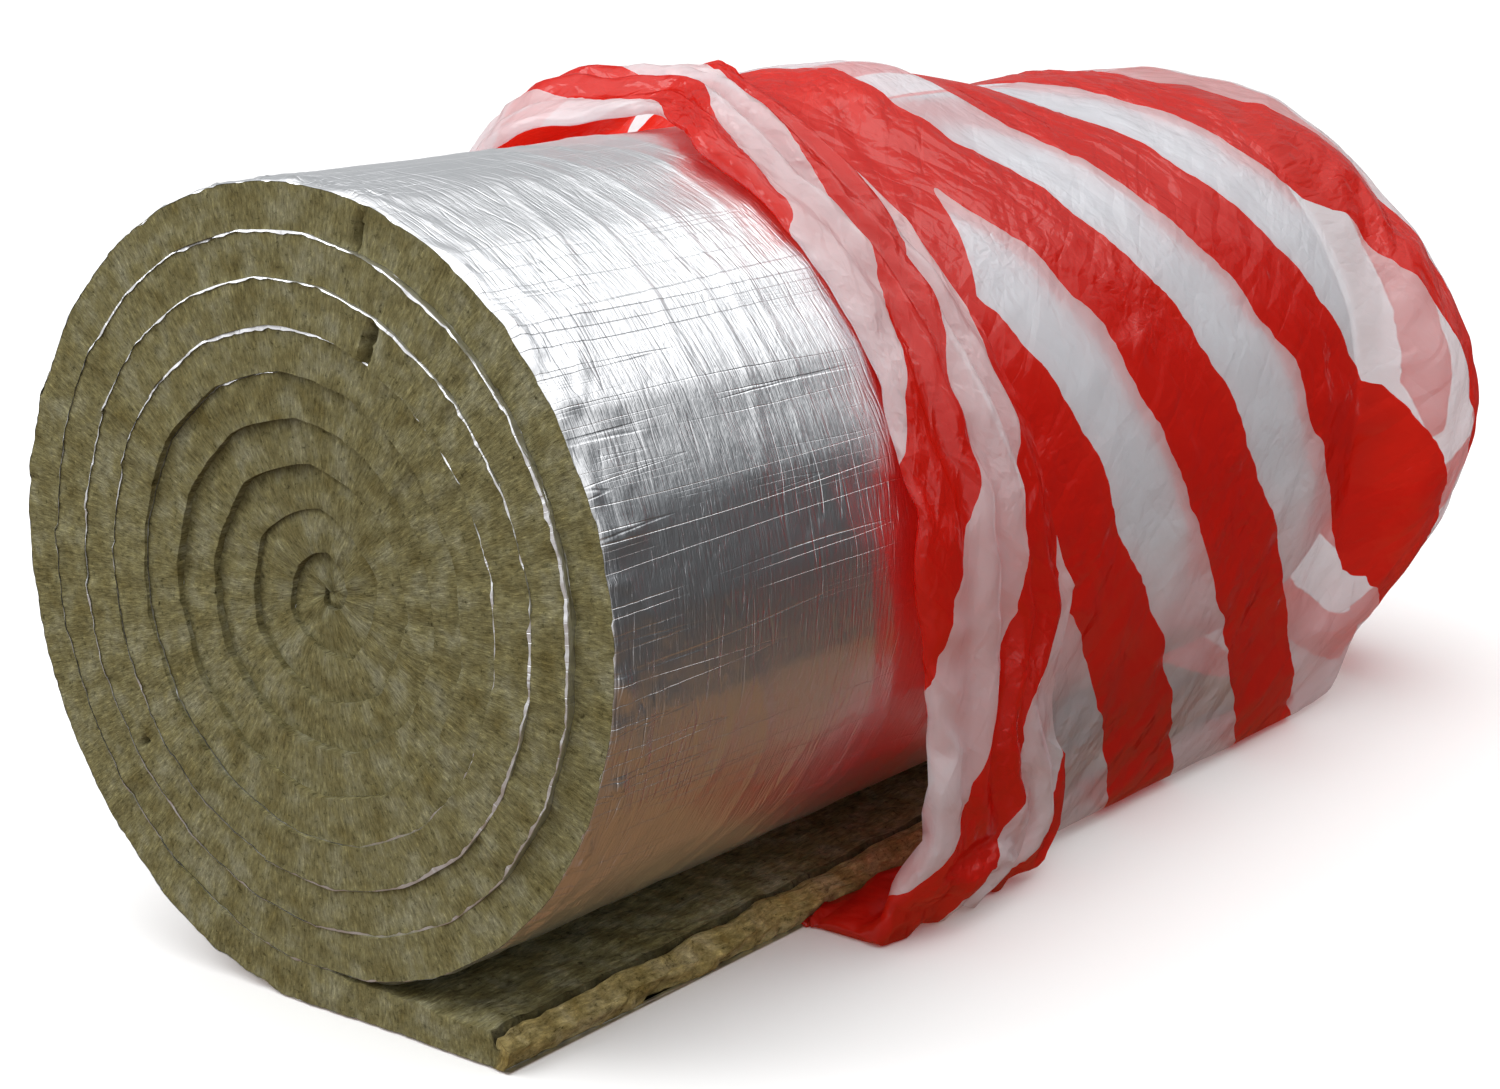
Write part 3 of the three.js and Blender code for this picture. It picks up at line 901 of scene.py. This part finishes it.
def crease_move(place, flat):
    """How far the taut film stands out between its creases: large flat facets, and smaller ones on them."""
    free = between(*creased_run, flat.y) * smooth(0.02, 0.12, place.z)
    free *= 1 - taut_share * between(*taut_run, flat.y) * smooth(0.44, 0.54, place.z)
    ahead, aside = facet_slant
    slanted = Vector((flat.x * ahead + flat.y * aside, flat.y * ahead - flat.x * aside, 0))
    bent = slanted + 0.03 * noise.noise_vector(slanted * 9)
    large = noise.voronoi(Vector((bent.x * 11, bent.y * 6, 1.5)), distance_metric="CHEBYCHEV")[0][0]
    small = noise.voronoi(Vector((bent.x * 27, bent.y * 17, 4.5)), distance_metric="CHEBYCHEV")[0][0]
    out = Vector((place.x - axis_x, 0, place.z - axis_z)).normalized()
    return out * free * (large_facet * large + small_facet * small)


settle_film()
for v, flat_place in zip(film_bag.data.vertices, film_bag.data.attributes["film_place"].data):
    v.co += crease_move(v.co, flat_place.vector)
joined = bmesh.new()
joined.from_mesh(film_bag.data)
bmesh.ops.remove_doubles(joined, verts=joined.verts[:], dist=2e-5)
joined.to_mesh(film_bag.data)
joined.free()

# The film is milky where it is bare, and denser where it is printed. The cuff is bunched more finely
# than its cells can show, so its film is denser too.
stripe_period = 0.2488
stripe_slant = 0.721
stripe_start = 0.111
stripe_share = 0.5
stripe_creep = 0.045
cuff_shift = -0.05
bare_by_weld = 0.05
film_white = (0.9, 0.9, 0.92)
film_red = (0.8, 0.024, 0.011)
white_opacity, cuff_opacity, red_opacity = 0.62, 0.82, 0.88
film_roughness = 0.13
film_gloss = 1
light_through = 0.52
crinkle_height, slow_swell_height = 1.6, 1.6
long_facet_height, cross_facet_height = 3.2, 2.2

nodes, links = painted(film_bag, "striped_film")
place = nodes.new("ShaderNodeAttribute")
place.attribute_name = "film_place"
film_round, film_run, _ = taken_apart(place.outputs["Vector"])
slanted = calculated("MULTIPLY_ADD", film_round, stripe_slant, film_run)
creep = calculated("MULTIPLY", calculated("SUBTRACT", drawn_noise((11, 7, 1), 3), 0.5), stripe_creep)
turned = calculated("MULTIPLY", eased(film_run, 1.22, 1.4), cuff_shift)
stripe_run = calculated("ADD", calculated("ADD", slanted, creep), turned)
in_stripe = calculated("FRACT", calculated("MULTIPLY_ADD", stripe_run, 1 / stripe_period, stripe_start))
inside_lip = calculated("MULTIPLY", eased(film_run, 1.06, 1.12), eased(film_run, 1.325, 1.305))
printed = calculated("LESS_THAN", in_stripe, calculated("MULTIPLY_ADD", inside_lip, 0.55, stripe_share))
printed = calculated("MULTIPLY", printed, calculated("GREATER_THAN", film_run, bare_by_weld))
ink = mixed("MIX", printed, film_white, film_red)
on_cuff = eased(film_run, 1.31, 1.34)
milky = calculated("MULTIPLY_ADD", on_cuff, cuff_opacity - white_opacity, white_opacity)
denser = calculated("MULTIPLY", printed, calculated("SUBTRACT", red_opacity, milky))
opacity = calculated("ADD", milky, denser)


def facets(turn, scale):
    """Flat-sided bumps with straight creases between them, on the film turned by an angle."""
    turned_place = nodes.new("ShaderNodeVectorRotate")
    turned_place.rotation_type = "Z_AXIS"
    turned_place.inputs["Angle"].default_value = turn
    links.new(place.outputs["Vector"], turned_place.inputs["Vector"])
    straight = stretched(turned_place.outputs[0], scale)
    bend = nodes.new("ShaderNodeTexNoise")
    bend.inputs["Scale"].default_value = 0.8
    links.new(straight, bend.inputs["Vector"])
    bent = nodes.new("ShaderNodeVectorMath")
    bent.operation = "MULTIPLY_ADD"
    bent.inputs[1].default_value = (0.6, 0.6, 0)
    links.new(bend.outputs["Color"], bent.inputs[0])
    links.new(straight, bent.inputs[2])
    cells = nodes.new("ShaderNodeTexVoronoi")
    cells.distance = "CHEBYCHEV"
    cells.inputs["Scale"].default_value = 1
    links.new(bent.outputs[0], cells.inputs["Vector"])
    return cells.outputs["Distance"]


loose = patches((6, 5, 4), 0.4, 0.62)
long_facets = calculated("MULTIPLY", facets(0.6, (34, 11, 1)), long_facet_height)
cross_facets = calculated("MULTIPLY", facets(-0.9, (40, 15, 3)), cross_facet_height)
crinkles = calculated("MULTIPLY", facets(0.2, (95, 70, 5)), calculated("MULTIPLY_ADD", loose, 0.8, 0.2))
swells = calculated("MULTIPLY", drawn_noise((26, 18, 1), 3), slow_swell_height)
fine = calculated("MULTIPLY_ADD", crinkles, crinkle_height, swells)
height = calculated("ADD", calculated("ADD", long_facets, cross_facets), fine)
film_normal = bumped(height, relief_unit)
skin = nodes["Principled BSDF"]
skin.inputs["Roughness"].default_value = film_roughness
skin.inputs["Specular IOR Level"].default_value = film_gloss
links.new(ink, skin.inputs["Base Color"])
links.new(film_normal, skin.inputs["Normal"])
glow = nodes.new("ShaderNodeBsdfTranslucent")
links.new(ink, glow.inputs["Color"])
links.new(film_normal, glow.inputs["Normal"])
clear = nodes.new("ShaderNodeBsdfTransparent")
links.new(ink, clear.inputs["Color"])
lit = nodes.new("ShaderNodeMixShader")
lit.inputs["Fac"].default_value = light_through
film_surface = nodes.new("ShaderNodeMixShader")
links.new(opacity, film_surface.inputs["Fac"])
for mix, first, second in ((lit, skin, glow), (film_surface, clear, lit)):
    links.new(first.outputs[0], mix.inputs[1])
    links.new(second.outputs[0], mix.inputs[2])
links.new(film_surface.outputs[0], nodes["Material Output"].inputs["Surface"])
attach(film_bag, "root")
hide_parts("film_bag")
